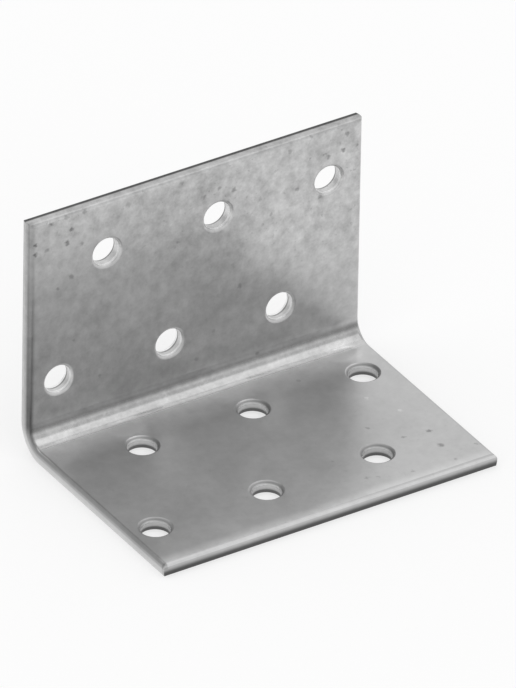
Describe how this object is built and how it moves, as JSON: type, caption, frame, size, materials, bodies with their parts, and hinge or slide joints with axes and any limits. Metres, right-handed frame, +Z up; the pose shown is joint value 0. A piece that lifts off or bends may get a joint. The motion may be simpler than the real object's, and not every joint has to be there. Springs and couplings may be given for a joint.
{
  "type": "angle bracket",
  "caption": "Right-angle bracket folded from galvanised steel sheet, with staggered rows of plain screw holes in both legs.",
  "frame": {"origin": "middle of the footprint, on the underside of the base leg", "axes": "+X along the fold, +Y from the base leg's free edge towards the wall leg, +Z up along the wall leg"},
  "size_m": [0.06, 0.0414, 0.0415],
  "materials": {
    "galvanised_steel": "satin zinc coat"
  },
  "bodies": {
    "root": {"angle_bracket": "galvanised_steel"}
  },
  "joints": []
}
